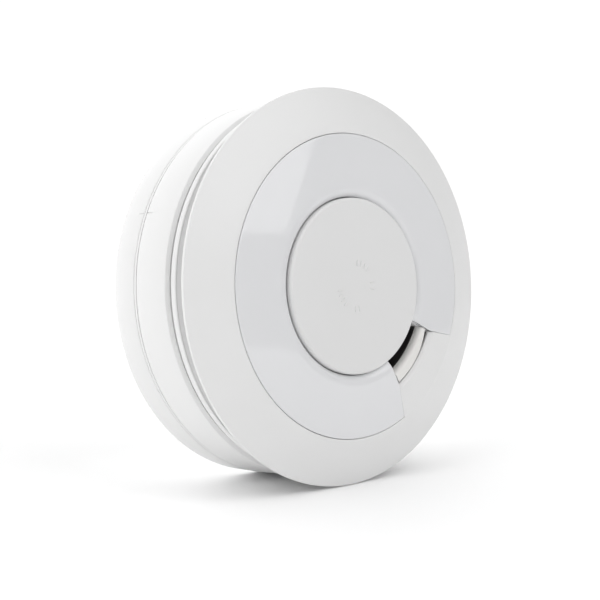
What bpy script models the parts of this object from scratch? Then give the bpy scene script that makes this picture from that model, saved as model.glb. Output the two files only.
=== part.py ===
"""Optical smoke alarm: a round head that twists off a plate fixed to a wall or ceiling.

Lengths are in millimetres and angles in degrees. Each piece is modelled lying down, with z as its
height above the mounting surface and the xy plane as the face seen from the front. The empty
wall_pose then stands the alarm up, so that its face looks along -Y and z = 0 becomes y = 0.
"""

import math

import bmesh
import bpy
from mathutils import Matrix, Vector

MM = 0.001                      # metres in a millimetre
GAP = 0.3                       # clearance between neighbouring pieces
WALL = 1.8                      # thickness of the moulded shells
STEPS = 48                      # sides of the large round pieces

# Heights above the mounting surface
PLATE_FLOOR = 2.4
PLATE_TOP = 9.4                 # the seam between plate and head starts here
HEAD_BACK = PLATE_TOP + GAP
SEAM_TOP = 10.4
HEAD_FLOOR = 11.7
BODY_TOP = 24.1                 # front edge of the rear housing
SPIGOT_BACK = 20.9              # the inlet ring's spigot reaches this far into the housing
LIP_BACK = 24.8
LIP_TOP = 26.7
RIDGE_TOP = 28.4                # smoke enters between here and the flange
RIM_BACK = 33.3
RIM_FRONT = 34.2
GROOVE_Z = 40.2                 # face height at the trim ring's outer edge
TRIM_INNER_Z = 42.1
BUTTON_FACE = 42.6
WELL_FLOOR = 38.0
WELL_BACK = 36.6
POST_TOP = 36.3                 # everything under the front cover stays below this
BOARD_BACK = 21.0
BOARD_FRONT = 22.6

# Radii
FLANGE_R = 57.5
BODY_R = 54.6
PLATE_R = 54.5
PLATE_BACK_R = 54.0
PLATE_INNER_R = 51.9
LIP_R = 54.2
LIP_INNER_R = 45.6
RIDGE_R = 51.2
CAGE_INNER_R = 46.4
CAGE_R = 48.0
GROOVE_R = 43.9                 # the trim ring sits inside this
TRIM_INNER_R = 25.6
TRIM_CREST_R = 28.5             # the ring's face rounds down to the button inside this
WELL_R = 26.3
BUTTON_R = 25.3
BOARD_R = 37.5

CAGE_POSTS = 48

# Bayonet between head and plate
TWIST = 16.9                    # turn that frees the head
LUG_ANGLES = (85.0, 205.0, 325.0)
LUG_SPREAD = 14.0
SKIRT_INNER_R = 46.6
SKIRT_R = 48.4
TAB_R = 51.0
LUG_INNER_R = 49.3
TAB_Z = (3.8, 6.0)
LUG_Z = (6.4, 8.6)

# Wall screws
SLOT_X = 30.0                   # slots sit either side of the centre
SLOT_LENGTH = 12.0
SLOT_WIDTH = 5.2

# Sound outlet in the front cover
SOUND_ANGLE = -45.0
OUTLET_SPREAD = 33.6            # opening between trim ring ends
TONGUE_HALF_WIDTH = 10.6        # matte sector that closes the C of the trim ring, at TONGUE_REACH
TONGUE_REACH = 33.2
TONGUE_FLARE = 32.1             # angle of its sides to its middle line
OUTLET_INNER_R = 25.4
OUTLET_R = 34.2
SOUNDER_REACH = 22.7            # sounder axis from the alarm's axis
SOUNDER_R = 14.6

# Optical chamber and electronics, in the face plane
CHAMBER_AT = (-8.0, 14.0)
CHAMBER_R = 20.0
CELL_AT = (-18.0, -26.0)
CELL_TURN = -27.0
CELL_R = 8.4
CELL_LENGTH = 33.5
CELL_Z = 21.9
STEM_AT = (16.0, 7.5)
LED_AT = (15.0, 14.5)
CHIP_AT = (27.0, 12.0)
CAPACITOR_AT = (20.0, 26.0)
COIL_AT = (-27.5, -2.5)
BOARD_SCREWS = ((33.9, 3.0), (8.8, 32.8), (-33.5, 5.9), (8.5, -33.5))
PILLAR_R = 41.5
PILLAR_ANGLES = (60.0, 180.0, 300.0)

# Power slide, moved by a spiral cam on the plate as the head twists
SLIDE_ANGLE = 120.0
SLIDE_REACH = 36.0              # peg from the axis with the head locked on
SLIDE_TRAVEL = 3.0              # peg's inward travel over the whole twist

BUTTON_TRAVEL = 1.0

WHITE = (0.83, 0.83, 0.83)
GLOSS_WHITE = (0.82, 0.83, 0.85)
BLACK = (0.02, 0.02, 0.022)
BOARD_GREEN = (0.03, 0.16, 0.07)
BRASS = (0.78, 0.6, 0.3)
STEEL = (0.6, 0.6, 0.62)


def clear_scene():
    for obj in list(bpy.data.objects):
        bpy.data.objects.remove(obj, do_unlink=True)


def make_material(name, colour, roughness, metallic=0.0):
    material = bpy.data.materials.new(name)
    material.use_nodes = True
    shader = material.node_tree.nodes["Principled BSDF"]
    shader.inputs["Base Color"].default_value = (*colour, 1.0)
    shader.inputs["Roughness"].default_value = roughness
    shader.inputs["Metallic"].default_value = metallic
    return material


def polar(radius, angle):
    turn = math.radians(angle)
    return radius * math.cos(turn), radius * math.sin(turn)


def sweep(bm, profile, centre=(0.0, 0.0), start=0.0, spread=360.0, steps=STEPS):
    """Turn a closed (radius, height) outline about an upright axis, whole or part of the way."""
    whole = spread >= 360.0
    stations = steps if whole else steps + 1
    loops = []
    for radius, height in profile:
        if radius == 0.0:
            loops.append([bm.verts.new((centre[0], centre[1], height))] * stations)
            continue
        loop = []
        for index in range(stations):
            x, y = polar(radius, start + spread * index / steps)
            loop.append(bm.verts.new((centre[0] + x, centre[1] + y, height)))
        loops.append(loop)
    for low, high in zip(loops, loops[1:] + loops[:1]):
        for index in range(steps):
            after = (index + 1) % stations
            corners = [low[index], low[after], high[after], high[index]]
            corners = list(dict.fromkeys(corners))
            if len(corners) > 2:
                bm.faces.new(corners)
    if not whole:
        bm.faces.new([loop[0] for loop in loops])
        bm.faces.new([loop[-1] for loop in loops])


def prism(bm, outline, low, high):
    """Raise a flat (x, y) outline from one height to another."""
    bottom = [bm.verts.new((x, y, low)) for x, y in outline]
    top = [bm.verts.new((x, y, high)) for x, y in outline]
    bm.faces.new(bottom)
    bm.faces.new(top)
    for index in range(len(outline)):
        after = (index + 1) % len(outline)
        bm.faces.new((bottom[index], bottom[after], top[after], top[index]))


def box(bm, centre, size, low, high, turn=0.0):
    half_x, half_y = size[0] / 2, size[1] / 2
    corners = []
    for x, y in ((-half_x, -half_y), (half_x, -half_y), (half_x, half_y), (-half_x, half_y)):
        reach = Matrix.Rotation(math.radians(turn), 2) @ Vector((x, y))
        corners.append((centre[0] + reach.x, centre[1] + reach.y))
    prism(bm, corners, low, high)


def disc(bm, centre, radius, low, high, steps=16):
    sweep(bm, [(0.0, low), (radius, low), (radius, high), (0.0, high)], centre, steps=steps)


def bow(start, end, bulge, count):
    """Points along a circular arc between two (radius, height) points, ends included."""
    chord = Vector(end) - Vector(start)
    outward = Vector((chord.y, -chord.x)).normalized()
    points = []
    for index in range(count + 1):
        share = index / count
        point = Vector(start) + chord * share + outward * bulge * 4 * share * (1 - share)
        points.append(tuple(point))
    return points


def pull_face(bm, face, distance):
    """Raise a face by a distance, with walls down to where it was."""
    grown = bmesh.ops.extrude_face_region(bm, geom=[face])
    moved = [item for item in grown["geom"] if isinstance(item, bmesh.types.BMVert)]
    bmesh.ops.translate(bm, vec=(0.0, 0.0, distance), verts=moved)
    bmesh.ops.delete(bm, geom=[face], context="FACES_ONLY")


def lay_down(bm, centre, turn):
    """Take what was built upright about the origin and lay it along the face, at a centre."""
    matrix = Matrix.Translation(Vector(centre))
    matrix = matrix @ Matrix.Rotation(math.radians(turn), 4, "Z") @ Matrix.Rotation(math.pi / 2, 4, "Y")
    bmesh.ops.transform(bm, matrix=matrix, verts=bm.verts)


def add_piece(name, bm, material, parent):
    bmesh.ops.recalc_face_normals(bm, faces=bm.faces)
    bmesh.ops.scale(bm, vec=(MM, MM, MM), verts=bm.verts)
    mesh = bpy.data.meshes.new(name)
    bm.to_mesh(mesh)
    bm.free()
    mesh.materials.append(material)
    mesh.shade_smooth()
    mesh.set_sharp_from_angle(angle=math.radians(35))
    obj = bpy.data.objects.new(name, mesh)
    bpy.context.scene.collection.objects.link(obj)
    obj.parent = parent
    return obj


def add_cutter(name, bm, parent):
    cutter = add_piece(name, bm, make_material(name, STEEL, 0.5), parent)
    cutter.hide_render = True
    cutter.display_type = "WIRE"
    return cutter


def combine(target, tool, operation):
    modifier = target.modifiers.new(tool.name, "BOOLEAN")
    modifier.operation = operation
    modifier.object = tool


def add_empty(name, parent=None):
    empty = bpy.data.objects.new(name, None)
    bpy.context.scene.collection.objects.link(empty)
    empty.parent = parent
    return empty


def spiral_wall(bm, offset, thickness, low, high):
    """Wall that follows the power slide's peg path at a radial offset."""
    count = 10
    lead = 4.0
    inner, outer = [], []
    for index in range(count + 1):
        turned = -lead + (TWIST + 2 * lead) * index / count
        radius = SLIDE_REACH - SLIDE_TRAVEL * turned / TWIST + offset
        inner.append(polar(radius - thickness / 2, SLIDE_ANGLE + turned))
        outer.append(polar(radius + thickness / 2, SLIDE_ANGLE + turned))
    prism(bm, inner + outer[::-1], low, high)


def make_mounting_plate(material, parent):
    bm = bmesh.new()
    sweep(bm, [
        (0.0, 0.0), (PLATE_BACK_R - 0.4, 0.0), (PLATE_BACK_R, 0.4), (PLATE_R, PLATE_TOP - 0.3),
        (PLATE_R - 0.3, PLATE_TOP), (PLATE_INNER_R, PLATE_TOP), (PLATE_INNER_R, PLATE_FLOOR),
        (0.0, PLATE_FLOOR),
    ])
    plate = add_piece("mounting_plate", bm, material, parent)
    for index, angle in enumerate(LUG_ANGLES):
        bm = bmesh.new()
        lug = [(LUG_INNER_R, LUG_Z[0]), (PLATE_INNER_R + 1.0, LUG_Z[0]),
               (PLATE_INNER_R + 1.0, LUG_Z[1]), (LUG_INNER_R, LUG_Z[1])]
        sweep(bm, lug, start=angle - LUG_SPREAD / 2, spread=LUG_SPREAD, steps=3)
        combine(plate, add_cutter(f"bayonet_lug_{index + 1}", bm, parent), "UNION")
    for side, offset in (("outer", 2.1), ("inner", -2.1)):
        bm = bmesh.new()
        spiral_wall(bm, offset, 1.2, PLATE_FLOOR - 1.0, 6.6)
        combine(plate, add_cutter(f"cam_wall_{side}", bm, parent), "UNION")
    for side, x in (("left", -SLOT_X), ("right", SLOT_X)):
        bm = bmesh.new()
        straight = (SLOT_LENGTH - SLOT_WIDTH) / 2
        outline = []
        for index in range(13):
            dx, dy = polar(SLOT_WIDTH / 2, 180.0 * index / 12)
            outline.append((x + dx, straight + dy))
        outline += [(2 * x - px, -py) for px, py in outline]
        prism(bm, outline, -1.0, PLATE_FLOOR + 1.0)
        combine(plate, add_cutter(f"screw_slot_{side}", bm, parent), "DIFFERENCE")


def make_rear_housing(material, parent):
    bm = bmesh.new()
    inner_r = BODY_R - 2.2
    corner = [(BODY_R, BODY_TOP - 1.6), (BODY_R - 0.15, BODY_TOP - 1.25), (BODY_R - 1.0, BODY_TOP - 0.1),
              (BODY_R - 1.2, BODY_TOP)]
    sweep(bm, [
        (0.0, HEAD_BACK), (SKIRT_INNER_R, HEAD_BACK), (SKIRT_INNER_R, TAB_Z[0]), (SKIRT_R, TAB_Z[0]),
        (SKIRT_R, HEAD_BACK), (54.0, HEAD_BACK), (54.0, SEAM_TOP), (BODY_R - 0.2, SEAM_TOP),
        (BODY_R, SEAM_TOP + 0.2), *corner, (inner_r, BODY_TOP), (inner_r, HEAD_FLOOR), (0.0, HEAD_FLOOR),
    ])
    housing = add_piece("rear_housing", bm, material, parent)
    for index, angle in enumerate(LUG_ANGLES):
        bm = bmesh.new()
        tab = [(SKIRT_R - 1.0, TAB_Z[0]), (TAB_R, TAB_Z[0]), (TAB_R, TAB_Z[1]), (SKIRT_R - 1.0, TAB_Z[1])]
        sweep(bm, tab, start=angle - LUG_SPREAD / 2, spread=LUG_SPREAD, steps=3)
        combine(housing, add_cutter(f"bayonet_tab_{index + 1}", bm, parent), "UNION")
    for index, spot in enumerate(BOARD_SCREWS):
        bm = bmesh.new()
        disc(bm, spot, 2.9, HEAD_FLOOR - 1.0, BOARD_BACK - GAP)
        combine(housing, add_cutter(f"board_boss_{index + 1}", bm, parent), "UNION")
        bm = bmesh.new()
        disc(bm, spot, 1.6, HEAD_FLOOR + 1.0, BOARD_BACK + 1.0, 12)
        combine(housing, add_cutter(f"board_boss_bore_{index + 1}", bm, parent), "DIFFERENCE")
    for index, angle in enumerate(PILLAR_ANGLES):
        spot = polar(PILLAR_R, angle)
        bm = bmesh.new()
        disc(bm, spot, 4.4, HEAD_FLOOR - 1.0, 17.0)
        combine(housing, add_cutter(f"pillar_boss_{index + 1}", bm, parent), "UNION")
        bm = bmesh.new()
        sweep(bm, [(0.0, HEAD_BACK - 1.0), (3.2, HEAD_BACK - 1.0), (3.2, 13.5), (1.8, 13.5), (1.8, 18.0),
                   (0.0, 18.0)], spot, steps=12)
        combine(housing, add_cutter(f"pillar_counterbore_{index + 1}", bm, parent), "DIFFERENCE")
    bm = bmesh.new()
    box(bm, polar(SLIDE_REACH - SLIDE_TRAVEL / 2, SLIDE_ANGLE), (SLIDE_TRAVEL + 3.6, 3.4),
        HEAD_BACK - 1.0, HEAD_FLOOR + 1.0, SLIDE_ANGLE)
    combine(housing, add_cutter("peg_slot", bm, parent), "DIFFERENCE")


def make_inlet_ring(material, parent):
    """Lip on a spigot that fits inside the rear housing's wall. The slope of the ridge on its front
    leads smoke in under the flange."""
    spigot_r = BODY_R - 2.2 - GAP
    bm = bmesh.new()
    sweep(bm, [
        (LIP_INNER_R, LIP_BACK), (spigot_r - 1.3, LIP_BACK), (spigot_r - 1.3, SPIGOT_BACK),
        (spigot_r, SPIGOT_BACK), (spigot_r, LIP_BACK), (LIP_R - 0.3, LIP_BACK), (LIP_R, LIP_BACK + 0.3), (LIP_R, LIP_TOP - 0.4),
        (LIP_R - 0.4, LIP_TOP), (RIDGE_R, RIDGE_TOP), (RIDGE_R - 1.4, RIDGE_TOP), (RIDGE_R - 1.6, LIP_TOP),
        (LIP_INNER_R, LIP_TOP),
    ])
    add_piece("inlet_ring", bm, material, parent)


def make_inlet_cage(material, parent):
    """Low band with a post on every other facet, which keeps fingers and insects out."""
    sides = 2 * CAGE_POSTS
    low, band_top = LIP_TOP + GAP, LIP_TOP + 1.5
    bm = bmesh.new()
    sweep(bm, [(CAGE_INNER_R, low), (CAGE_R, low), (CAGE_R, band_top), (CAGE_INNER_R, band_top)], steps=sides)
    seats = [face for face in bm.faces if abs(face.calc_center_median().z - band_top) < 0.01]
    for seat in seats[::2]:
        pull_face(bm, seat, POST_TOP - band_top)
    add_piece("inlet_cage", bm, material, parent)


def tongue_plan(margin):
    """Corners of the matte sector, widened each side by a margin; its sides are not radial."""
    flare = math.radians(TONGUE_FLARE)
    corners = []
    for along, side in ((29.0, -1.0), (50.0, -1.0), (50.0, 1.0), (29.0, 1.0)):
        half_width = TONGUE_HALF_WIDTH + (along - TONGUE_REACH) * math.tan(flare) + margin / math.cos(flare)
        reach = Matrix.Rotation(math.radians(SOUND_ANGLE), 2) @ Vector((along, side * half_width))
        corners.append((reach.x, reach.y))
    return corners


def face_profile():
    """Front surface of the cover from the rim to the trim ring."""
    return bow((FLANGE_R - 0.35, RIM_FRONT + 0.1), (GROOVE_R, GROOVE_Z), 0.4, 6)


def make_front_cover(material, parent):
    inside = bow((FLANGE_R - 1.9, RIM_BACK), (45.6, 37.4), 0.5, 4)
    bm = bmesh.new()
    sweep(bm, [
        (FLANGE_R - 0.4, RIM_BACK), (FLANGE_R, RIM_BACK + 0.3), (FLANGE_R, RIM_FRONT - 0.3),
        *face_profile(), (GROOVE_R, GROOVE_Z - WALL), (WELL_R, TRIM_INNER_Z - WALL),
        (WELL_R, WELL_FLOOR), (0.0, WELL_FLOOR), (0.0, WELL_BACK), (44.4, WELL_BACK), *inside[::-1],
    ])
    cover = add_piece("front_cover", bm, material, parent)
    bm = bmesh.new()
    rise = (TRIM_INNER_Z - GROOVE_Z) / (GROOVE_R - TRIM_INNER_R)
    inner_z = GROOVE_Z + rise * (GROOVE_R - OUTLET_R)
    sweep(bm, [
        (OUTLET_R + 0.2, WELL_BACK + 1.0), (GROOVE_R + 1.0, WELL_BACK + 1.0),
        (GROOVE_R + 1.0, GROOVE_Z - 0.7), (GROOVE_R + 0.1, GROOVE_Z - 0.05),
        *bow((GROOVE_R, GROOVE_Z), (OUTLET_R + 0.6, inner_z), 0.1, 2), (OUTLET_R + 0.2, inner_z - 0.4),
    ], start=SOUND_ANGLE - 24.0, spread=48.0, steps=10)
    tongue = add_cutter("cover_tongue", bm, parent)
    bm = bmesh.new()
    prism(bm, tongue_plan(-GAP / 2), WELL_BACK, BUTTON_FACE)
    combine(tongue, add_cutter("tongue_sides", bm, parent), "INTERSECT")
    combine(cover, tongue, "UNION")
    bm = bmesh.new()
    sweep(bm, [
        (OUTLET_INNER_R - 0.4, WELL_BACK - 1.0), (OUTLET_R, WELL_BACK - 1.0), (OUTLET_R, BUTTON_FACE + 1.0),
        (OUTLET_INNER_R - 0.4, BUTTON_FACE + 1.0),
    ], start=SOUND_ANGLE - OUTLET_SPREAD / 2, spread=OUTLET_SPREAD, steps=8)
    combine(cover, add_cutter("sound_outlet", bm, parent), "DIFFERENCE")
    for index, angle in enumerate(PILLAR_ANGLES):
        spot = polar(PILLAR_R, angle)
        bm = bmesh.new()
        disc(bm, spot, 3.2, 17.0 + GAP, WELL_BACK + 1.0)
        combine(cover, add_cutter(f"cover_pillar_{index + 1}", bm, parent), "UNION")
        bm = bmesh.new()
        disc(bm, spot, 1.6, 16.0, 30.0, 12)
        combine(cover, add_cutter(f"cover_pillar_bore_{index + 1}", bm, parent), "DIFFERENCE")
    for name, spot, radius in (("stem_hole", STEM_AT, 2.6), ("light_guide_hole", LED_AT, 1.9)):
        bm = bmesh.new()
        disc(bm, spot, radius, WELL_BACK - 1.0, WELL_FLOOR + 1.0)
        combine(cover, add_cutter(name, bm, parent), "DIFFERENCE")


def make_trim_ring(material, parent):
    outer_r = GROOVE_R - 0.4
    bm = bmesh.new()
    sweep(bm, [
        (TRIM_INNER_R, TRIM_INNER_Z - WALL + GAP), (TRIM_INNER_R + 0.3, TRIM_INNER_Z - WALL + GAP),
        (outer_r, GROOVE_Z - WALL + GAP), (outer_r, GROOVE_Z - 0.3),
        *bow((outer_r - 0.3, GROOVE_Z), (TRIM_CREST_R, TRIM_INNER_Z - 0.15), 0.2, 4),
        *bow((TRIM_CREST_R - 0.5, TRIM_INNER_Z - 0.15), (TRIM_INNER_R, TRIM_INNER_Z - 0.9), 0.15, 3),
    ])
    ring = add_piece("trim_ring", bm, material, parent)
    bm = bmesh.new()
    inner, outer, spread = TRIM_INNER_R - 2.0, OUTLET_R + 0.5, OUTLET_SPREAD + 1.0
    sweep(bm, [(inner, 36.0), (outer, 36.0), (outer, 44.0), (inner, 44.0)],
          start=SOUND_ANGLE - spread / 2, spread=spread, steps=6)
    combine(ring, add_cutter("trim_gap_inner", bm, parent), "DIFFERENCE")
    bm = bmesh.new()
    prism(bm, tongue_plan(GAP / 2), 35.0, 45.0)
    combine(ring, add_cutter("trim_gap_outer", bm, parent), "DIFFERENCE")


def make_test_button(material, parent):
    skirt = WELL_FLOOR + BUTTON_TRAVEL + 0.4
    bm = bmesh.new()
    sweep(bm, [
        (0.0, BUTTON_FACE), (BUTTON_R - 0.8, BUTTON_FACE), (BUTTON_R - 0.2, BUTTON_FACE - 0.3),
        (BUTTON_R, BUTTON_FACE - 0.9), (BUTTON_R, skirt), (BUTTON_R - 1.7, skirt),
        (BUTTON_R - 1.7, BUTTON_FACE - 1.7), (0.0, BUTTON_FACE - 1.7),
    ])
    button = add_piece("test_button", bm, material, parent)
    bm = bmesh.new()
    disc(bm, STEM_AT, 1.8, 30.7, BUTTON_FACE - 1.0, 12)
    combine(button, add_cutter("button_stem", bm, parent), "UNION")


def make_button_spring(material, parent):
    coil_r, wire_r, turns, per_turn, sides = 5.0, 0.3, 2.5, 16, 6
    low = WELL_FLOOR + GAP + wire_r
    high = BUTTON_FACE - 1.7 - GAP - wire_r
    bm = bmesh.new()
    count = int(turns * per_turn)
    rings = []
    for index in range(count + 1):
        share = index / count
        middle_x, middle_y = polar(coil_r, 360.0 * turns * share)
        outward = Vector((middle_x, middle_y, 0.0)).normalized()
        middle = Vector((middle_x, middle_y, low + (high - low) * share))
        ring = []
        for side in range(sides):
            across, up = polar(wire_r, 360.0 * side / sides)
            ring.append(bm.verts.new(middle + outward * across + Vector((0.0, 0.0, up))))
        rings.append(ring)
    for ring, following in zip(rings, rings[1:]):
        for side in range(sides):
            after = (side + 1) % sides
            bm.faces.new((ring[side], ring[after], following[after], following[side]))
    bm.faces.new(rings[0])
    bm.faces.new(rings[-1])
    add_piece("button_spring", bm, material, parent)


def make_sounder(plastic, brass, ceramic, parent):
    centre = polar(SOUNDER_REACH, SOUND_ANGLE)
    bm = bmesh.new()
    sweep(bm, [
        (0.0, BOARD_FRONT + GAP), (SOUNDER_R, BOARD_FRONT + GAP), (SOUNDER_R, 30.7), (SOUNDER_R - 1.2, 30.7),
        (SOUNDER_R - 1.2, 28.9), (SOUNDER_R - 2.4, 28.9), (SOUNDER_R - 2.4, 24.2), (0.0, 24.2),
    ], centre, steps=32)
    add_piece("sounder_base", bm, plastic, parent)
    bm = bmesh.new()
    disc(bm, centre, SOUNDER_R - 1.5, 29.2, 29.5, 32)
    add_piece("piezo_disc", bm, brass, parent)
    bm = bmesh.new()
    disc(bm, centre, 9.0, 28.5, 28.9, 24)
    add_piece("piezo_ceramic", bm, ceramic, parent)
    bm = bmesh.new()
    sweep(bm, [
        (SOUNDER_R - 2.6, 29.8), (SOUNDER_R - 1.5, 29.8), (SOUNDER_R - 1.5, 31.0), (SOUNDER_R, 31.0),
        (SOUNDER_R, POST_TOP), (0.0, POST_TOP), (0.0, 34.8), (SOUNDER_R - 2.6, 34.8),
    ], centre, steps=32)
    horn = add_piece("sounder_horn", bm, plastic, parent)
    bm = bmesh.new()
    lip = [(29.0, 35.2), (OUTLET_R - 1.1, 35.2), (OUTLET_R - 1.1, 41.0), (OUTLET_R - 1.6, 41.4)]
    lip += [(31.3, 41.2), (30.1, 40.3), (29.4, 38.9), (29.0, 37.2)]
    sweep(bm, lip, start=SOUND_ANGLE - OUTLET_SPREAD / 2 + 0.7, spread=OUTLET_SPREAD - 1.4, steps=8)
    combine(horn, add_cutter("horn_lip", bm, parent), "UNION")
    bm = bmesh.new()
    sweep(bm, [(26.0, 33.8), (29.0, 33.8), (29.0, 37.0), (26.0, 37.0)],
          start=SOUND_ANGLE - 15.0, spread=30.0, steps=6)
    combine(horn, add_cutter("horn_throat", bm, parent), "DIFFERENCE")


def make_optical_chamber(black, mesh_metal, parent):
    bm = bmesh.new()
    sweep(bm, [
        (0.0, BOARD_FRONT + GAP), (CHAMBER_R, BOARD_FRONT + GAP), (CHAMBER_R, 25.6), (CHAMBER_R - 1.0, 25.6),
        (CHAMBER_R - 1.0, 24.3), (0.0, 24.3),
    ], CHAMBER_AT, steps=32)
    add_piece("chamber_base", bm, black, parent)
    sides = 48
    vane_top = 34.2
    bm = bmesh.new()
    sweep(bm, [
        (0.0, vane_top), (15.4, vane_top), (17.6, vane_top), (18.4, vane_top), (18.4, 35.6), (0.0, 35.6),
    ], CHAMBER_AT, steps=sides)
    bm.faces.ensure_lookup_table()
    vane_seats = []
    for face in bm.faces:
        middle = face.calc_center_median() - Vector((*CHAMBER_AT, 0.0))
        radius = math.hypot(middle.x, middle.y)
        turn = math.degrees(math.atan2(middle.y, middle.x)) % 360.0
        if abs(middle.z - vane_top) < 0.01 and 15.4 < radius < 17.6 and int(turn * sides / 360.0) % 3 == 0:
            vane_seats.append(face)
    for seat in vane_seats:
        pull_face(bm, seat, 25.0 - vane_top)
    add_piece("chamber_cap", bm, black, parent)
    bm = bmesh.new()
    sweep(bm, [
        (CHAMBER_R - 0.7, 25.9), (CHAMBER_R - 0.3, 25.9), (CHAMBER_R - 0.3, 35.4), (CHAMBER_R - 0.7, 35.4),
    ], CHAMBER_AT, steps=32)
    add_piece("insect_screen", bm, mesh_metal, parent)


def make_chamber_optics(clear, dark, parent):
    """Emitter and receiver lie in the chamber and look at its middle from 130 degrees apart."""
    for name, angle, material in (("infrared_emitter", 155.0, clear), ("photodiode", 285.0, dark)):
        x, y = polar(9.0, angle)
        bm = bmesh.new()
        sweep(bm, [(0.0, -3.6), (2.4, -3.6), (2.4, 2.2), (1.6, 3.4), (0.0, 3.9)], steps=16)
        lay_down(bm, (CHAMBER_AT[0] + x, CHAMBER_AT[1] + y, 27.2), angle + 180.0)
        add_piece(name, bm, material, parent)


def make_circuit_board(material, parent):
    bm = bmesh.new()
    disc(bm, (0.0, 0.0), BOARD_R, BOARD_BACK, BOARD_FRONT, STEPS)
    board = add_piece("circuit_board", bm, material, parent)
    bm = bmesh.new()
    outward = Matrix.Rotation(math.radians(CELL_TURN), 2) @ Vector((0.0, -8.0))
    box(bm, (CELL_AT[0] + outward.x, CELL_AT[1] + outward.y), (CELL_LENGTH + 6.0, 36.5),
        BOARD_BACK - 1.0, BOARD_FRONT + 1.0, CELL_TURN)
    combine(board, add_cutter("cell_notch", bm, parent), "DIFFERENCE")
    for index, spot in enumerate(BOARD_SCREWS):
        bm = bmesh.new()
        disc(bm, spot, 1.6, BOARD_BACK - 1.0, BOARD_FRONT + 1.0, 12)
        combine(board, add_cutter(f"board_hole_{index + 1}", bm, parent), "DIFFERENCE")


def make_components(dark, clear, steel, copper, white, parent):
    bm = bmesh.new()
    box(bm, CHIP_AT, (9.0, 9.0), BOARD_FRONT + GAP, BOARD_FRONT + 2.0)
    add_piece("microcontroller", bm, dark, parent)
    bm = bmesh.new()
    disc(bm, CAPACITOR_AT, 3.1, BOARD_FRONT + GAP, BOARD_FRONT + 7.5)
    add_piece("storage_capacitor", bm, steel, parent)
    bm = bmesh.new()
    low = BOARD_FRONT + GAP
    sweep(bm, [
        (0.0, low), (4.0, low), (4.0, low + 1.0), (3.0, low + 1.2), (3.0, low + 4.8), (4.0, low + 5.0),
        (4.0, low + 6.0), (0.0, low + 6.0),
    ], COIL_AT)
    add_piece("sounder_coil", bm, copper, parent)
    bm = bmesh.new()
    sweep(bm, [(0.0, low), (1.6, low), (1.6, 25.2), (1.1, 26.2), (0.0, 26.5)], LED_AT, steps=12)
    add_piece("indicator_led", bm, clear, parent)
    bm = bmesh.new()
    disc(bm, LED_AT, 1.5, 26.9, BUTTON_FACE - 1.7 - BUTTON_TRAVEL - GAP, 12)
    add_piece("light_guide", bm, clear, parent)
    bm = bmesh.new()
    box(bm, STEM_AT, (6.0, 6.0), BOARD_FRONT + GAP, 27.0)
    body = add_piece("test_switch", bm, dark, parent)
    bm = bmesh.new()
    disc(bm, STEM_AT, 2.1, 24.2, 28.0, 12)
    combine(body, add_cutter("test_switch_bore", bm, parent), "DIFFERENCE")
    slide_spot = polar(SLIDE_REACH - 6.2, SLIDE_ANGLE)
    bm = bmesh.new()
    box(bm, slide_spot, (5.0, 7.0), 16.4, BOARD_BACK - GAP, SLIDE_ANGLE)
    add_piece("power_switch", bm, white, parent)


def make_switch_plunger(material, parent):
    bm = bmesh.new()
    disc(bm, STEM_AT, 1.8, 25.5, 30.4, 12)
    add_piece("test_switch_plunger", bm, material, parent)


def make_power_slide(material, parent):
    """Slide in the head's floor; its peg reaches down between the plate's cam walls."""
    peg = polar(SLIDE_REACH, SLIDE_ANGLE)
    bm = bmesh.new()
    box(bm, polar(SLIDE_REACH - 1.5, SLIDE_ANGLE), (8.0, 5.0), HEAD_FLOOR + GAP, 14.0, SLIDE_ANGLE)
    slide = add_piece("power_slide", bm, material, parent)
    bm = bmesh.new()
    disc(bm, peg, 1.2, 3.2, 13.0, 12)
    combine(slide, add_cutter("slide_peg", bm, parent), "UNION")
    bm = bmesh.new()
    box(bm, polar(SLIDE_REACH - 4.0, SLIDE_ANGLE), (2.0, 3.0), 13.0, 16.0, SLIDE_ANGLE)
    combine(slide, add_cutter("slide_finger", bm, parent), "UNION")


def make_battery(cell_skin, plastic, spring_steel, parent):
    low, high = HEAD_FLOOR + GAP, BOARD_FRONT
    bm = bmesh.new()
    box(bm, CELL_AT, (CELL_LENGTH + 4.6, 2 * CELL_R + 2.4), low, high, CELL_TURN)
    holder = add_piece("battery_holder", bm, plastic, parent)
    bm = bmesh.new()
    reach = CELL_LENGTH / 2 + 1.2
    sweep(bm, [(0.0, -reach), (CELL_R + 0.4, -reach), (CELL_R + 0.4, reach), (0.0, reach)], steps=24)
    lay_down(bm, (*CELL_AT, CELL_Z), CELL_TURN)
    combine(holder, add_cutter("cell_bed", bm, parent), "DIFFERENCE")
    half = CELL_LENGTH / 2
    bm = bmesh.new()
    sweep(bm, [
        (0.0, -half), (CELL_R - 0.4, -half), (CELL_R, 0.4 - half), (CELL_R, half - 1.6),
        (CELL_R - 0.5, half - 1.1), (3.2, half - 1.1), (3.2, half), (0.0, half),
    ], steps=24)
    lay_down(bm, (*CELL_AT, CELL_Z), CELL_TURN)
    add_piece("lithium_cell", bm, cell_skin, parent)
    along = Matrix.Rotation(math.radians(CELL_TURN), 2) @ Vector((half + 0.7, 0.0))
    for name, sign in (("positive_contact", 1.0), ("negative_contact", -1.0)):
        bm = bmesh.new()
        centre = (CELL_AT[0] + sign * along.x, CELL_AT[1] + sign * along.y)
        box(bm, centre, (0.4, 5.0), 18.2, 27.0, CELL_TURN)
        add_piece(name, bm, spring_steel, parent)


def make_screw(name, spot, head_r, shank_r, heights, material, parent):
    """Screw whose head is nearer the first height; the shank ends at the last one."""
    head, under, tip = heights
    bm = bmesh.new()
    sweep(bm, [(0.0, head), (head_r, head), (head_r, under), (shank_r, under), (shank_r, tip), (0.0, tip)],
          spot, steps=12)
    add_piece(name, bm, material, parent)


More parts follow.
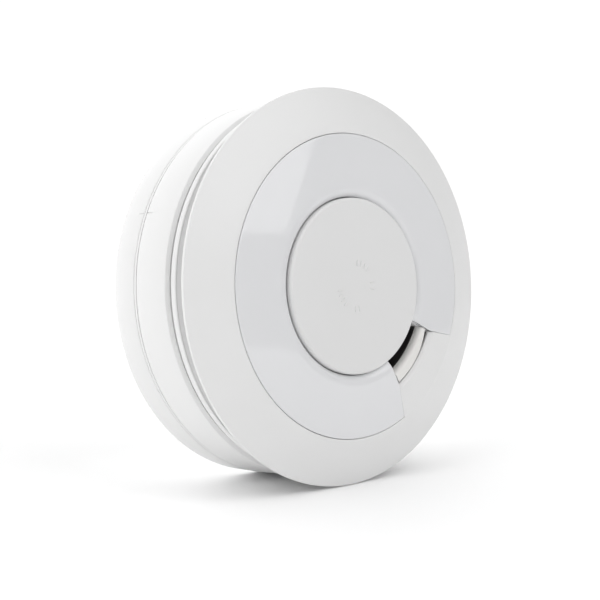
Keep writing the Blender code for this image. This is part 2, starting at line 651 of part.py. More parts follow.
def make_screws(material, parent):
    for index, spot in enumerate(BOARD_SCREWS):
        heights = (BOARD_FRONT + 2.1, BOARD_FRONT + GAP, BOARD_BACK - 7.0)
        make_screw(f"board_screw_{index + 1}", spot, 2.5, 1.25, heights, material, parent)
    for index, angle in enumerate(PILLAR_ANGLES):
        heights = (11.0, 13.5 - GAP, 28.0)
        make_screw(f"cover_screw_{index + 1}", polar(PILLAR_R, angle), 2.8, 1.25, heights, material, parent)


def main():
    clear_scene()
    white = make_material("white_moulding", WHITE, 0.5)
    gloss = make_material("gloss_moulding", GLOSS_WHITE, 0.15)
    black = make_material("black_moulding", BLACK, 0.6)
    green = make_material("board_green", BOARD_GREEN, 0.4)
    brass = make_material("brass", BRASS, 0.3, 1.0)
    steel = make_material("plated_steel", STEEL, 0.35, 1.0)
    copper = make_material("copper_winding", (0.6, 0.3, 0.15), 0.4, 1.0)
    ceramic = make_material("piezo_ceramic", (0.75, 0.73, 0.68), 0.5)
    clear = make_material("clear_resin", (0.85, 0.85, 0.88), 0.1)
    cell_skin = make_material("cell_sleeve", (0.2, 0.35, 0.6), 0.4)

    wall_pose = add_empty("wall_pose")
    head_axis = add_empty("head_axis", wall_pose)
    button_axis = add_empty("button_axis", head_axis)

    make_mounting_plate(white, wall_pose)
    make_rear_housing(white, head_axis)
    make_inlet_ring(white, head_axis)
    make_inlet_cage(white, head_axis)
    make_front_cover(white, head_axis)
    make_trim_ring(gloss, head_axis)
    make_test_button(white, button_axis)
    make_button_spring(steel, head_axis)
    make_sounder(black, brass, ceramic, head_axis)
    make_optical_chamber(black, steel, head_axis)
    make_chamber_optics(clear, black, head_axis)
    make_circuit_board(green, head_axis)
    make_components(black, clear, steel, copper, white, head_axis)
    make_switch_plunger(white, head_axis)
    make_power_slide(white, head_axis)
    make_battery(cell_skin, black, steel, head_axis)
    make_screws(steel, head_axis)

    wall_pose.rotation_euler = (math.radians(90.0), 0.0, 0.0)
    bpy.context.view_layer.update()


main()
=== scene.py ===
"""Looks of an optical smoke alarm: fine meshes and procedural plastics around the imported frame.

Lengths are in millimetres and angles in degrees until at() turns them into the frame's metres. The
alarm's axis runs along Y: height is the distance from the mounting surface towards the face, and an
angle is counted anticlockwise from +X as seen from the front.
"""

import math

import bmesh
import bpy
from mathutils import Matrix, Quaternion, Vector


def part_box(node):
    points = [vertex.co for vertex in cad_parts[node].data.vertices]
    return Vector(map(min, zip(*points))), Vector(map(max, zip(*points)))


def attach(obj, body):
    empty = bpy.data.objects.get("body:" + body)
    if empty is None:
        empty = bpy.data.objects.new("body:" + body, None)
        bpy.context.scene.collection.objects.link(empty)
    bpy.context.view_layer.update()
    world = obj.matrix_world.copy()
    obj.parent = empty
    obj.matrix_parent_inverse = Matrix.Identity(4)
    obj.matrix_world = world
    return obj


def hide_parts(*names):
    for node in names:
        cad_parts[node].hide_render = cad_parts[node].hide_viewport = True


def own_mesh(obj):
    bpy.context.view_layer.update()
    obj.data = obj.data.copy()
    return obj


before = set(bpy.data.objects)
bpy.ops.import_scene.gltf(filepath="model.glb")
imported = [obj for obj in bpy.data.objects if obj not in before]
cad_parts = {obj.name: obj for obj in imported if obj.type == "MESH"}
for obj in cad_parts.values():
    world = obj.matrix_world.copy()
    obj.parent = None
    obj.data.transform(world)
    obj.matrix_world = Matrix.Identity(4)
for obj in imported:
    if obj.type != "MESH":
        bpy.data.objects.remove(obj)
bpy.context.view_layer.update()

MM = 0.001
SIDES, SMALL_SIDES = 256, 48    # facets round a large turned piece and round a boss
ARC_STEP = 1.4                  # degrees between the stations of a swept arc
SHARP_ANGLE = 28.0              # edges sharper than this stay crisp in the shading

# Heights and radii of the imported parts
RIM_BACK, RIM_FRONT = 33.3, 34.3
GROOVE_Z, BUTTON_FACE, WELL_FLOOR, WELL_BACK = 40.2, 42.6, 38.0, 36.6
COVER_BACK_R, COVER_BACK_Z = 45.6, 37.4
PLATE_FLOOR, SEAM_BOTTOM, SEAM_TOP = 2.4, 9.2, 10.5
SKIRT_BACK, HEAD_BACK, HEAD_FLOOR, BODY_TOP = 3.8, 9.7, 11.7, 24.1
SPIGOT_BACK, LIP_BACK, LIP_FLOOR, LIP_TOP, RIDGE_TOP = 20.9, 25.05, 26.7, 27.1, 28.7
HORN_BACK, HORN_BASE, HORN_TOP = 33.0, 34.7, 41.4
FLANGE_R, GROOVE_R, TRIM_INNER_R, WELL_R, BUTTON_R = 57.5, 43.9, 25.6, 26.3, 25.3
BODY_R, BODY_INNER_R, SKIRT_R, SKIRT_INNER_R = 54.6, 52.4, 48.4, 46.6
LIP_R, SPIGOT_R, SPIGOT_INNER_R, LIP_INNER_R = 54.2, 52.1, 50.8, 45.6
PLATE_R, PLATE_BACK_R, PLATE_INNER_R = 54.5, 54.0, 51.9
FACE_SLOPE = 0.106              # rise of the trim ring's face towards the button
SEAT_DROP = 1.7                 # from that face down to the cover beneath it
TWIST_TICKS = (152.4, 169.3)    # lock and unlock marks on the side

# Bayonet, bosses, pillars and the power slide's cam, hidden between the shells
LUG_ANGLES, LUG_SPREAD = (85.0, 205.0, 325.0), 14.0
BOARD_SCREWS = ((33.9, 3.0), (8.8, 32.8), (-33.5, 5.9), (8.5, -33.5))
PILLAR_R, PILLAR_ANGLES = 41.5, (60.0, 180.0, 300.0)
SLIDE_ANGLE, SLIDE_REACH, SLIDE_TRAVEL, PEG_WIDTH = 120.0, 36.0, 3.0, 3.4
SCREW_SLOT_X = 30.0             # the plate's two screw slots, either side of the middle

# The matte sector in the trim ring's gap, and the sound outlet at its inner edge
SOUND_ANGLE, OUTLET_SPREAD = -45.0, 33.6
OUTLET_INNER_R, OUTLET_R = 25.0, 34.2
SEAM_FLARE, SEAM_OFFSET = 32.1, -8.67
SEAM_MARGIN = 0.015             # half the gap between the sector's side and the trim ring's end


def at(radius, angle, height):
    turn = math.radians(angle)
    return Vector((radius * math.cos(turn), -height, radius * math.sin(turn))) * MM


def polar(radius, angle):
    turn = math.radians(angle)
    return radius * math.cos(turn), radius * math.sin(turn)


PILLARS = [polar(PILLAR_R, angle) for angle in PILLAR_ANGLES]


def rounded(corners, arc_steps=5):
    """Outline of (radius, height, fillet) corners, each with a fillet turned into an arc."""
    outline = []
    count = len(corners)
    for index, (r, z, fillet) in enumerate(corners):
        here = Vector((r, z))
        before = Vector(corners[index - 1][:2]) - here
        after = Vector(corners[(index + 1) % count][:2]) - here
        if fillet == 0.0:
            outline.append((r, z))
            continue
        half = before.angle(after) / 2
        middle = (before.normalized() + after.normalized()).normalized()
        centre = here + middle * (fillet / math.sin(half))
        start = here + before.normalized() * (fillet / math.tan(half)) - centre
        end = here + after.normalized() * (fillet / math.tan(half)) - centre
        sweep = start.angle_signed(end)
        for step in range(arc_steps + 1):
            spoke = start.copy()
            spoke.rotate(Matrix.Rotation(-sweep * step / arc_steps, 2))
            outline.append(tuple(centre + spoke))
    return outline


def bow(start, end, bulge, count):
    """Points of a shallow arc between two (radius, height) points, ends included."""
    first, chord = Vector(start), Vector(end) - Vector(start)
    outward = Vector((chord.y, -chord.x)).normalized()
    shares = [index / count for index in range(count + 1)]
    return [tuple(first + chord * s + outward * bulge * 4 * s * (1 - s)) for s in shares]


def bezier(start, pull, end, count):
    """Points of a curve from start to end that leaves and arrives along lines to pull."""
    a, b, c = Vector(start), Vector(pull), Vector(end)
    shares = [index / count for index in range(count + 1)]
    return [tuple(a * (1 - s) ** 2 + b * 2 * s * (1 - s) + c * s * s) for s in shares]


def face_z(radius):
    return GROOVE_Z + FACE_SLOPE * (GROOVE_R - radius)


def seam_half(radius, margin):
    """Angle from the sector's middle to its side, which is straight but not radial."""
    return SEAM_FLARE + math.degrees(math.asin((margin + SEAM_OFFSET) / radius))


def new_object(name, bm, material, body):
    bmesh.ops.remove_doubles(bm, verts=bm.verts, dist=1e-7)
    bmesh.ops.dissolve_degenerate(bm, edges=bm.edges, dist=1e-7)
    bmesh.ops.recalc_face_normals(bm, faces=bm.faces)
    mesh = bpy.data.meshes.new(name)
    bm.to_mesh(mesh)
    bm.free()
    mesh.materials.append(material)
    mesh.shade_smooth()
    mesh.set_sharp_from_angle(angle=math.radians(SHARP_ANGLE))
    obj = bpy.data.objects.new(name, mesh)
    bpy.context.scene.collection.objects.link(obj)
    if body:
        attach(obj, body)
    return obj


def swept(stations, whole, place=at):
    """Skin over outlines set at angles round the axis; outlines share one number of points."""
    bm = bmesh.new()
    rings = []
    for angle, outline in stations:
        rings.append([bm.verts.new(place(r, angle, z)) for r, z in outline])
    pairs = list(zip(rings, rings[1:]))
    if whole:
        pairs.append((rings[-1], rings[0]))
    for ring, following in pairs:
        for index in range(len(ring)):
            after = (index + 1) % len(ring)
            bm.faces.new((ring[index], ring[after], following[after], following[index]))
    if not whole:
        bm.faces.new(rings[0])
        bm.faces.new(rings[-1])
    return bm


def turned(outline, sides=SIDES, place=at):
    return swept([(360.0 * index / sides, outline) for index in range(sides)], True, place)


def arc(start, end):
    count = max(2, math.ceil((end - start) / ARC_STEP))
    return [start + (end - start) * index / count for index in range(count + 1)]


def sector(outline, middle, spread):
    angles = arc(middle - spread / 2, middle + spread / 2)
    return swept([(angle, outline) for angle in angles], False)


def cutter(name, bm):
    """A helper that a Boolean reads; it never shows."""
    bmesh.ops.recalc_face_normals(bm, faces=bm.faces)
    mesh = bpy.data.meshes.new(name)
    bm.to_mesh(mesh)
    bm.free()
    obj = bpy.data.objects.new(name, mesh)
    bpy.context.scene.collection.objects.link(obj)
    return obj


def carve(target, tools, operation="DIFFERENCE"):
    """Cut or join helpers into a piece, once and for all, and delete them."""
    for tool in tools:
        modifier = target.modifiers.new(tool.name, "BOOLEAN")
        modifier.operation = operation
        modifier.object = tool
    evaluated = target.evaluated_get(bpy.context.evaluated_depsgraph_get())
    mesh = bpy.data.meshes.new_from_object(evaluated)
    target.modifiers.clear()
    target.data = mesh
    mesh.shade_smooth()
    mesh.set_sharp_from_angle(angle=math.radians(SHARP_ANGLE))
    for tool in tools:
        bpy.data.objects.remove(tool)


def soften(obj, width):
    """Break the sharp edges, as a mould does."""
    bevel = obj.modifiers.new("edge_break", "BEVEL")
    bevel.width = width * MM
    bevel.segments = 2
    bevel.limit_method = "ANGLE"
    bevel.angle_limit = math.radians(40.0)
    bevel.harden_normals = True


# Bosses, slots and bayonet ---------------------------------------------------------------------


def tick(angle, radius, low, high):
    """Shallow line cut in the side, along the axis."""
    half_width = math.degrees(0.2 / radius)
    floor_r, clear_r = radius - 0.22, radius + 1.0
    outline = [(floor_r, low), (clear_r, low), (clear_r, high), (floor_r, high)]
    return swept([(angle - half_width, outline), (angle + half_width, outline)], False)


def centre_of(box):
    low, high = box
    return (low.x + high.x) / 2 / MM, (low.z + high.z) / 2 / MM


def boss(spot, radius, low, high, edge=0.25):
    """Round boss or hole about a spot in the face plane, from one height to another."""
    outline = rounded([(0.0, low, 0.0), (radius, low, edge), (radius, high, edge), (0.0, high, 0.0)])

    def place(r, angle, height):
        return at(r, angle, height) + Vector((spot[0], 0.0, spot[1])) * MM

    return turned(outline, SMALL_SIDES, place)


def bosses(name, spots, radius, low, high, edge=0.25):
    return [cutter(f"{name}_{n}", boss(spot, radius, low, high, edge)) for n, spot in enumerate(spots)]


def bayonet(reach, depth, low, high, name):
    """Three blocks on a ring, which turn past each other when the head is twisted."""
    corners = [(reach, low, 0.2), (depth, low, 0.2), (depth, high, 0.2), (reach, high, 0.2)]
    blocks = [sector(rounded(corners, 3), angle, LUG_SPREAD) for angle in LUG_ANGLES]
    return [cutter(f"{name}_{n}", block) for n, block in enumerate(blocks)]


def cam_wall(offset):
    """Wall beside the spiral path that draws the power slide's peg in as the head turns."""
    low, high, half_width, lead, steps = 1.4, 6.6, 0.6, 4.0, 24
    twist = TWIST_TICKS[1] - TWIST_TICKS[0]
    stations = []
    for step in range(steps + 1):
        turn = -lead + (twist + 2 * lead) * step / steps
        r = SLIDE_REACH - SLIDE_TRAVEL * turn / twist + offset
        inner_r, outer_r = r - half_width, r + half_width
        wall = [(inner_r, low), (outer_r, low), (outer_r, high), (inner_r, high)]
        stations.append((SLIDE_ANGLE + turn, wall))
    return cutter("cam_wall", swept(stations, False))


def slot_across(angle, reach, length, width, low, high):
    """Straight-sided slot along a radius."""
    bm = bmesh.new()
    bmesh.ops.create_cube(bm, size=1.0)
    bmesh.ops.scale(bm, vec=Vector((length, high - low, width)) * MM, verts=bm.verts)
    bmesh.ops.rotate(bm, matrix=Matrix.Rotation(math.radians(-angle), 3, "Y"), verts=bm.verts)
    bmesh.ops.translate(bm, vec=at(reach, angle, (low + high) / 2), verts=bm.verts)
    return bm


def screw_slot(x):
    """Upright slot with round ends, through the plate."""
    length, end_r, steps = 12.0, 2.6, 24
    bm = bmesh.new()
    outline = []
    for index in range(steps + 1):
        turn = math.pi * index / steps
        outline.append((x + end_r * math.cos(turn), length / 2 - end_r + end_r * math.sin(turn)))
    outline += [(2 * x - px, -pz) for px, pz in outline]
    rings = []
    for height in (-1.0, PLATE_FLOOR + 1.0):
        rings.append([bm.verts.new(Vector((px, -height, pz)) * MM) for px, pz in outline])
    bm.faces.new(rings[0])
    bm.faces.new(rings[1])
    for index in range(len(outline)):
        after = (index + 1) % len(outline)
        bm.faces.new((rings[0][index], rings[0][after], rings[1][after], rings[1][index]))
    return bm


# Materials -------------------------------------------------------------------------------------

NOISE_LOW, NOISE_HIGH = 0.3, 0.7    # where nearly all of a noise texture's values lie


def shader_tree(name):
    material = bpy.data.materials.new(name)
    material.use_nodes = True
    nodes, links = material.node_tree.nodes, material.node_tree.links
    shader = nodes["Principled BSDF"]
    coords = nodes.new("ShaderNodeTexCoord")
    return material, nodes, links, shader, coords


def noise(nodes, links, coords, scale, detail=3.0, roughness=0.5):
    texture = nodes.new("ShaderNodeTexNoise")
    texture.inputs["Scale"].default_value = scale
    texture.inputs["Detail"].default_value = detail
    texture.inputs["Roughness"].default_value = roughness
    links.new(coords.outputs["Object"], texture.inputs["Vector"])
    return texture


def ramp_between(nodes, links, source, low, high):
    ramp = nodes.new("ShaderNodeValToRGB")
    ramp.color_ramp.elements[0].position = NOISE_LOW
    ramp.color_ramp.elements[1].position = NOISE_HIGH
    ramp.color_ramp.elements[0].color = (*low, 1.0)
    ramp.color_ramp.elements[1].color = (*high, 1.0)
    links.new(source, ramp.inputs["Fac"])
    return ramp.outputs["Color"]


def range_between(nodes, links, source, low, high):
    spread = nodes.new("ShaderNodeMapRange")
    spread.inputs["From Min"].default_value = NOISE_LOW
    spread.inputs["From Max"].default_value = NOISE_HIGH
    spread.inputs["To Min"].default_value = low
    spread.inputs["To Max"].default_value = high
    links.new(source, spread.inputs["Value"])
    return spread.outputs["Result"]


def add_bump(nodes, links, source, shader, depth):
    bump = nodes.new("ShaderNodeBump")
    bump.inputs["Strength"].default_value = 1.0
    bump.inputs["Distance"].default_value = depth * MM
    links.new(source, bump.inputs["Height"])
    links.new(bump.outputs["Normal"], shader.inputs["Normal"])


def moulded_plastic(name, colour, shade, roughness, grain, depth, spread=0.06):
    """Plastic with a faint tone drift from moulding and a grain as fine as the tool's texture."""
    material, nodes, links, shader, coords = shader_tree(name)
    drift = noise(nodes, links, coords, 28.0)
    tone = ramp_between(nodes, links, drift.outputs["Fac"], shade, colour)
    links.new(tone, shader.inputs["Base Color"])
    texture = noise(nodes, links, coords, grain, 2.0, 0.6)
    rough = range_between(nodes, links, texture.outputs["Fac"], roughness - spread, roughness + spread)
    links.new(rough, shader.inputs["Roughness"])
    add_bump(nodes, links, texture.outputs["Fac"], shader, depth)
    shader.inputs["IOR"].default_value = 1.46
    return material


def metal(name, colour, shade, roughness, scale=(400.0, 400.0, 40.0)):
    """Rolled or plated metal with a directional grain."""
    material, nodes, links, shader, coords = shader_tree(name)
    mapping = nodes.new("ShaderNodeMapping")
    mapping.inputs["Scale"].default_value = scale
    links.new(coords.outputs["Object"], mapping.inputs["Vector"])
    streaks = nodes.new("ShaderNodeTexNoise")
    streaks.inputs["Scale"].default_value = 6.0
    streaks.inputs["Detail"].default_value = 4.0
    links.new(mapping.outputs["Vector"], streaks.inputs["Vector"])
    tone = ramp_between(nodes, links, streaks.outputs["Fac"], shade, colour)
    links.new(tone, shader.inputs["Base Color"])
    rough = range_between(nodes, links, streaks.outputs["Fac"], roughness - 0.08, roughness + 0.08)
    links.new(rough, shader.inputs["Roughness"])
    add_bump(nodes, links, streaks.outputs["Fac"], shader, 0.01)
    shader.inputs["Metallic"].default_value = 1.0
    return material


WHITE = moulded_plastic(
    "matte_white_plastic", (0.735, 0.735, 0.735), (0.72, 0.72, 0.718), 0.42, 2600.0, 0.006)
BUTTON = moulded_plastic(
    "button_white_plastic", (0.70, 0.70, 0.70), (0.688, 0.688, 0.687), 0.52, 2400.0, 0.008)
GLOSS = moulded_plastic(
    "gloss_white_plastic", (0.707, 0.71, 0.722), (0.697, 0.70, 0.712), 0.06, 160.0, 0.001, 0.01)
HORN = moulded_plastic("horn_plastic", (0.76, 0.75, 0.73), (0.74, 0.73, 0.71), 0.4, 1500.0, 0.005)
BLACK = moulded_plastic(
    "black_plastic", (0.022, 0.02, 0.019), (0.014, 0.013, 0.013), 0.6, 1800.0, 0.01)
RESIN = moulded_plastic(
    "dark_resin", (0.035, 0.035, 0.038), (0.02, 0.02, 0.022), 0.45, 2200.0, 0.004)
CLEAR = moulded_plastic(
    "clear_resin", (0.84, 0.85, 0.88), (0.8, 0.81, 0.84), 0.12, 300.0, 0.001, 0.03)
SLEEVE = moulded_plastic("cell_sleeve", (0.16, 0.32, 0.6), (0.13, 0.28, 0.55), 0.3, 400.0, 0.002)
CERAMIC = moulded_plastic(
    "piezo_ceramic", (0.76, 0.74, 0.69), (0.7, 0.68, 0.63), 0.5, 1200.0, 0.003)
BOARD = moulded_plastic(
    "board_laminate", (0.03, 0.19, 0.08), (0.02, 0.13, 0.055), 0.3, 500.0, 0.004)
STEEL = metal("plated_steel", (0.66, 0.66, 0.68), (0.55, 0.55, 0.57), 0.32)
ALUMINIUM = metal("aluminium_can", (0.75, 0.75, 0.77), (0.68, 0.68, 0.7), 0.35)
BRASS = metal("brass_sheet", (0.8, 0.62, 0.3), (0.7, 0.52, 0.24), 0.3)
COPPER = metal("copper_winding", (0.72, 0.36, 0.18), (0.5, 0.22, 0.1), 0.35, (30.0, 2500.0, 30.0))


# The visible shells ----------------------------------------------------------------------------


def make_front_cover():
    """Flange, seat for the trim ring and button well; a matte sector rises between the trim
    ring's ends, and the sound outlet is cut through the seat."""
    rim = rounded([
        (FLANGE_R - 1.9, RIM_BACK, 0.0), (FLANGE_R, RIM_BACK, 0.4), (FLANGE_R, RIM_FRONT, 0.5),
        (FLANGE_R - 2.5, RIM_FRONT + 1.9, 0.0),
    ])[1:-1]
    face = bow((FLANGE_R - 0.35, RIM_FRONT + 0.15), (GROOVE_R, GROOVE_Z), 0.4, 24)[1:-1]
    edge = rounded([
        (FLANGE_R, RIM_FRONT, 0.0), (GROOVE_R, GROOVE_Z, 0.25), (GROOVE_R, GROOVE_Z - SEAT_DROP, 0.0),
    ], 4)[1:-1]
    tip_r = OUTLET_R + 0.1
    # As many points as the tongue has, so that the skin can pass from one to the other
    seat_rs = [GROOVE_R + (tip_r - GROOVE_R) * step / 11 for step in range(12)]
    seat = edge + [(r, face_z(r) - SEAT_DROP) for r in seat_rs]
    top = [(r, face_z(r)) for r in (GROOVE_R + 0.3, GROOVE_R, 42.3, 40.7, 39.1, 37.5)]
    tip = rounded([
        (GROOVE_R, GROOVE_Z, 0.0), (tip_r + 1.4, face_z(tip_r + 1.4), 0.8),
        (tip_r, face_z(tip_r) - 0.9, 0.3), (tip_r, WELL_FLOOR, 0.0),
    ], 4)[1:-1]
    tongue = top + tip + [(tip_r, face_z(tip_r) - SEAT_DROP)]
    back = bow((FLANGE_R - 1.9, RIM_BACK), (COVER_BACK_R, COVER_BACK_Z), 0.5, 8)
    inside = rounded([
        (30.0, face_z(30.0) - SEAT_DROP, 0.0), (WELL_R, face_z(WELL_R) - SEAT_DROP, 0.2),
        (WELL_R, WELL_FLOOR, 0.4), (0.0, WELL_FLOOR, 0.0), (0.0, WELL_BACK, 0.0),
        (COVER_BACK_R - 1.2, WELL_BACK, 0.4), (COVER_BACK_R, COVER_BACK_Z, 0.0),
    ])[:-1] + back[::-1]
    broken = [(r, z - 0.1) for r, z in tongue]      # the tongue's edge, where it meets the ring
    edge_turn = seam_half(GROOVE_R, -SEAM_MARGIN)

    def place(radius, angle, height):
        """Squeeze the angles so that a station on the sector's side follows its straight line."""
        reach = min(max(radius, OUTLET_R), GROOVE_R)
        side = seam_half(reach, -SEAM_MARGIN)
        turn = (angle - SOUND_ANGLE + 180.0) % 360.0 - 180.0
        size = abs(turn)
        if size <= edge_turn:
            size *= side / edge_turn
        else:
            size = side + (size - edge_turn) * (180.0 - side) / (180.0 - edge_turn)
        return at(radius, SOUND_ANGLE + math.copysign(size, turn), height)

    low, high = SOUND_ANGLE - edge_turn, SOUND_ANGLE + edge_turn
    stations = [(low, rim + face + broken + inside)]
    stations += [(angle, rim + face + tongue + inside) for angle in arc(low + 0.2, high - 0.2)]
    stations += [(high, rim + face + broken + inside)]
    seat_angles = arc(high + 0.001, low + 360.0 - 0.001)
    stations += [(angle, rim + face + seat + inside) for angle in seat_angles]
    skin = swept(stations, True, place)
    cover = new_object("front_cover_shell", skin, WHITE, "head")
    below, above = WELL_BACK - 1.0, BUTTON_FACE + 1.4
    outlet = [(OUTLET_INNER_R, below), (OUTLET_R, below), (OUTLET_R, above), (OUTLET_INNER_R, above)]
    stem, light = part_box("test_switch_plunger"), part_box("light_guide")
    carve(cover, [cutter("outlet", sector(outlet, SOUND_ANGLE, OUTLET_SPREAD)),
                  cutter("stem_hole", boss(centre_of(stem), 2.6, below, WELL_FLOOR + 1.0, 0.0)),
                  cutter("light_hole", boss(centre_of(light), 1.9, below, WELL_FLOOR + 1.0, 0.0))])
    carve(cover, bosses("pillar", PILLARS, 3.2, 17.3, WELL_BACK + 0.5), "UNION")
    carve(cover, bosses("bore", PILLARS, 1.6, 16.0, 30.0, 0.0))
    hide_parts("front_cover")


def make_trim_ring():
    """Polished C whose face rounds down to the button; its ends are radial by the sound outlet and
    then follow the matte sector's sides."""
    outer_r = GROOVE_R - 0.13
    crest = (29.2, face_z(29.2) + 0.05)
    top = bow((outer_r, GROOVE_Z), crest, 0.15, 16)[1:-1]
    top += bezier(crest, (27.0, 42.05), (TRIM_INNER_R + 0.12, 40.9), 12)
    full = rounded(
        [(TRIM_INNER_R, 40.3, 0.1), (outer_r, GROOVE_Z - 1.35, 0.1), (outer_r, GROOVE_Z, 0.25)]
        + [(r, z, 0.0) for r, z in top] + [(TRIM_INNER_R, 40.75, 0.0)], 6)
    ring_gap = OUTLET_SPREAD / 2 + 0.02

    def place(radius, share, height):
        start = max(ring_gap, seam_half(max(radius, OUTLET_R), SEAM_MARGIN))
        return at(radius, SOUND_ANGLE + start + share * (360.0 - 2 * start), height)

    broken = [(r, z - 0.12 if z > face_z(r) - 0.6 else z) for r, z in full]     # at the two ends
    shares = [index / 240 for index in range(1, 240)]
    stations = [(0.0, broken), (0.0008, full)] + [(share, full) for share in shares]
    stations += [(0.9992, full), (1.0, broken)]
    skin = swept(stations, False, place)
    ring = new_object("trim_ring_gloss", skin, GLOSS, "head")
    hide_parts("trim_ring")


def make_test_button():
    """Hollow cap, with the stem that presses the switch's plunger."""
    wall, skirt_z = 1.7, 39.4
    outline = rounded([
        (0.0, BUTTON_FACE, 0.0), (BUTTON_R, BUTTON_FACE, 0.8), (BUTTON_R, skirt_z, 0.15),
        (BUTTON_R - wall, skirt_z, 0.15), (BUTTON_R - wall, BUTTON_FACE - wall, 0.3),
        (0.0, BUTTON_FACE - wall, 0.0),
    ])
    button = new_object("button_cap", turned(outline), BUTTON, "test_button")
    low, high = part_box("test_switch_plunger")
    stem_x, stem_z = (low.x + high.x) / 2, (low.z + high.z) / 2
    stem_r, stem_back, stem_front = 1.8, 30.7, 42.0
    stem_outline = rounded([
        (0.0, stem_back, 0.0), (stem_r, stem_back, 0.2), (stem_r, stem_front, 0.0),
        (0.0, stem_front, 0.0),
    ])

    def place(radius, angle, height):
        return at(radius, angle, height) + Vector((stem_x, 0.0, stem_z))

    rod = turned(stem_outline, SMALL_SIDES, place)
    stem = new_object("button_stem", rod, BUTTON, "test_button")
    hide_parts("test_button")
    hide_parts("test_button")


def make_button_marks():
    """Plain raised bars in a broken circle, in place of lettering."""
    bar_size, circle_r, sunk = (1.7, 0.4, 0.34), 6.6, 0.02
    for index, turn in enumerate((42, 55, 68, 81, -12, 4, 186, 199, 212, 225, 262, 275)):
        bm = bmesh.new()
        bmesh.ops.create_cube(bm, size=1.0)
        bmesh.ops.scale(bm, vec=Vector(bar_size) * MM, verts=bm.verts)
        bmesh.ops.rotate(bm, matrix=Matrix.Rotation(math.radians(-turn), 3, "Y"), verts=bm.verts)
        bmesh.ops.translate(bm, vec=at(circle_r, turn, BUTTON_FACE - sunk), verts=bm.verts)
        mark = new_object(f"button_mark_{index}", bm, BUTTON, "test_button")
        soften(mark, 0.1)
        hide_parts("test_button")


def make_button_spring():
    """Open coil under the button; it is made at one length, and nothing here shortens it as the button
    is pressed.
    """
    coil_r, wire_r, turns, steps, sides = 5.0, 0.3, 2.5, 120, 12
    low, high = WELL_FLOOR + 0.6, BUTTON_FACE - 2.3
    bm = bmesh.new()
    rings = []
    for step in range(steps + 1):
        share = step / steps
        angle = 360.0 * turns * share
        middle = low + (high - low) * share
        wire = [(wire_r * math.cos(turn), wire_r * math.sin(turn))
                for turn in (math.tau * side / sides for side in range(sides))]
        rings.append([bm.verts.new(at(coil_r + out, angle, middle + up)) for out, up in wire])
    for ring, following in zip(rings, rings[1:]):
        for index in range(sides):
            after = (index + 1) % sides
            bm.faces.new((ring[index], ring[after], following[after], following[index]))
    bm.faces.new(rings[0])
    bm.faces.new(rings[-1])
    spring = new_object("button_coil_spring", bm, STEEL, "head")
    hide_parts("button_spring")
    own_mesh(spring)


